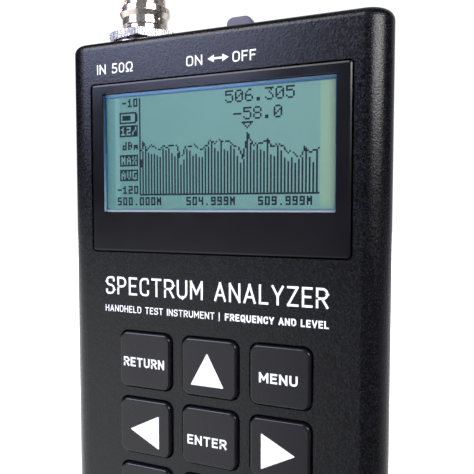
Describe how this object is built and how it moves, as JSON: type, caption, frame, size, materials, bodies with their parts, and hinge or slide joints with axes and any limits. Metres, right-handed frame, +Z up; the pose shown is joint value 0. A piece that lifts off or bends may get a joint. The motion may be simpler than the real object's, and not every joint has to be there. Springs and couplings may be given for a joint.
{
  "type": "handheld spectrum analyser",
  "caption": "Slim pocket radio spectrum analyser: metal case, wide LCD above a rubber keypad, slide power switch and a bayonet coaxial jack carrying a folding telescopic whip",
  "frame": {"origin": "centre of the bottom end face of the case, midway between the case's front and back faces", "axes": "+Z up through the top end that carries the jack, the front face with the display and keys looks along -Y, +X to the right of someone facing the display"},
  "size_m": [0.0728, 0.0259, 0.2446],
  "materials": {
    "case_paint": "fine matt powder coat",
    "key_rubber": "satin moulded key",
    "bezel_plastic": "smooth near-black plastic",
    "window_glass": "clear cover window",
    "lcd_glass": "teal reflective liquid-crystal cell",
    "bright_metal": "bright stamped sheet",
    "screw_steel": "blackened steel",
    "board": "green solder mask",
    "white_plastic": "plain white moulding",
    "black_plastic": "moulded black",
    "knob_plastic": "grey satin moulding",
    "cell_wrap": "shrink-wrap film",
    "label_film": "silver polyester film, blank",
    "nickel": "bright nickel plate",
    "contact_brass": "gold-flashed brass",
    "seal_rubber": "black seal ring",
    "dark_steel": "dark spring steel",
    "whip_chrome": "polished chrome tube"
  },
  "bodies": {
    "case": {"front_housing": "case_paint", "rear_cover": "case_paint", "rear_label": "label_film", "case_screws": "screw_steel", "display_bezel": "bezel_plastic", "display_window": "window_glass", "lcd_frame": "bright_metal", "lcd_glass": "lcd_glass", "lcd_backlight": "white_plastic", "lcd_pcb": "board", "lcd_header": "black_plastic", "main_pcb": "board", "pcb_screws": "screw_steel", "tact_switches": "black_plastic", "rf_shield": "bright_metal", "integrated_circuits": "black_plastic", "chip_components": "black_plastic", "buzzer": "black_plastic", "battery": "cell_wrap", "battery_connector": "white_plastic", "usb_socket": "bright_metal", "power_switch": "black_plastic", "jack_body": "nickel", "jack_insulator": "white_plastic", "jack_contact": "contact_brass", "rf_feed_block": "contact_brass", "jack_seal": "seal_rubber", "jack_washer": "nickel", "lock_washer": "dark_steel", "jack_nut": "nickel"},
    "key_return_body": {"key_return": "key_rubber"},
    "key_up_body": {"key_up": "key_rubber"},
    "key_menu_body": {"key_menu": "key_rubber"},
    "key_left_body": {"key_left": "key_rubber"},
    "key_enter_body": {"key_enter": "key_rubber"},
    "key_right_body": {"key_right": "key_rubber"},
    "key_lower_left_body": {"key_lower_left": "key_rubber"},
    "key_down_body": {"key_down": "key_rubber"},
    "key_lower_right_body": {"key_lower_right": "key_rubber"},
    "power_slider": {"power_knob": "knob_plastic"},
    "sleeve": {"coupling_sleeve": "nickel"},
    "plug": {"antenna_base": "nickel", "spring_washer": "dark_steel", "plug_insulator": "white_plastic", "plug_pin": "contact_brass", "elbow_pin": "nickel"},
    "whip_foot": {"antenna_elbow": "nickel", "whip_section_1": "whip_chrome"},
    "whip_tube_2": {"whip_section_2": "whip_chrome"},
    "whip_tube_3": {"whip_section_3": "whip_chrome"},
    "whip_tube_4": {"whip_section_4": "whip_chrome"},
    "whip_rod": {"whip_section_5": "whip_chrome", "antenna_tip": "whip_chrome"}
  },
  "joints": [
    {"name": "key_return_press", "type": "slide", "parent": "case", "child": "key_return_body", "axis": [0, 1, 0], "range_m": [0, 0.0005], "stiffness_N_per_m": 200, "springref_m": -0.005},
    {"name": "key_up_press", "type": "slide", "parent": "case", "child": "key_up_body", "axis": [0, 1, 0], "range_m": [0, 0.0005], "stiffness_N_per_m": 200, "springref_m": -0.005},
    {"name": "key_menu_press", "type": "slide", "parent": "case", "child": "key_menu_body", "axis": [0, 1, 0], "range_m": [0, 0.0005], "stiffness_N_per_m": 200, "springref_m": -0.005},
    {"name": "key_left_press", "type": "slide", "parent": "case", "child": "key_left_body", "axis": [0, 1, 0], "range_m": [0, 0.0005], "stiffness_N_per_m": 200, "springref_m": -0.005},
    {"name": "key_enter_press", "type": "slide", "parent": "case", "child": "key_enter_body", "axis": [0, 1, 0], "range_m": [0, 0.0005], "stiffness_N_per_m": 200, "springref_m": -0.005},
    {"name": "key_right_press", "type": "slide", "parent": "case", "child": "key_right_body", "axis": [0, 1, 0], "range_m": [0, 0.0005], "stiffness_N_per_m": 200, "springref_m": -0.005},
    {"name": "key_lower_left_press", "type": "slide", "parent": "case", "child": "key_lower_left_body", "axis": [0, 1, 0], "range_m": [0, 0.0005], "stiffness_N_per_m": 200, "springref_m": -0.005},
    {"name": "key_down_press", "type": "slide", "parent": "case", "child": "key_down_body", "axis": [0, 1, 0], "range_m": [0, 0.0005], "stiffness_N_per_m": 200, "springref_m": -0.005},
    {"name": "key_lower_right_press", "type": "slide", "parent": "case", "child": "key_lower_right_body", "axis": [0, 1, 0], "range_m": [0, 0.0005], "stiffness_N_per_m": 200, "springref_m": -0.005},
    {"name": "power_slide", "type": "slide", "parent": "case", "child": "power_slider", "axis": [1, 0, 0], "range_m": [0, 0.0022]},
    {"name": "sleeve_turn", "type": "hinge", "parent": "case", "child": "sleeve", "pos_m": [-0.02278, 0, 0.1236], "axis": [0, 0, 1], "range_deg": [0, 75]},
    {"name": "antenna_swivel", "type": "hinge", "parent": "case", "child": "plug", "pos_m": [-0.02278, 0, 0.1236], "axis": [0, 0, 1], "continuous": true},
    {"name": "elbow_hinge", "type": "hinge", "parent": "plug", "child": "whip_foot", "pos_m": [-0.02278, 0, 0.1383], "axis": [0, 1, 0], "range_deg": [-90, 90]},
    {"name": "whip_slide_2", "type": "slide", "parent": "whip_foot", "child": "whip_tube_2", "axis": [0, 0, 1], "range_m": [0, 0.065]},
    {"name": "whip_slide_3", "type": "slide", "parent": "whip_tube_2", "child": "whip_tube_3", "axis": [0, 0, 1], "range_m": [0, 0.065]},
    {"name": "whip_slide_4", "type": "slide", "parent": "whip_tube_3", "child": "whip_tube_4", "axis": [0, 0, 1], "range_m": [0, 0.065]},
    {"name": "whip_slide_5", "type": "slide", "parent": "whip_tube_4", "child": "whip_rod", "axis": [0, 0, 1], "range_m": [0, 0.065]}
  ]
}
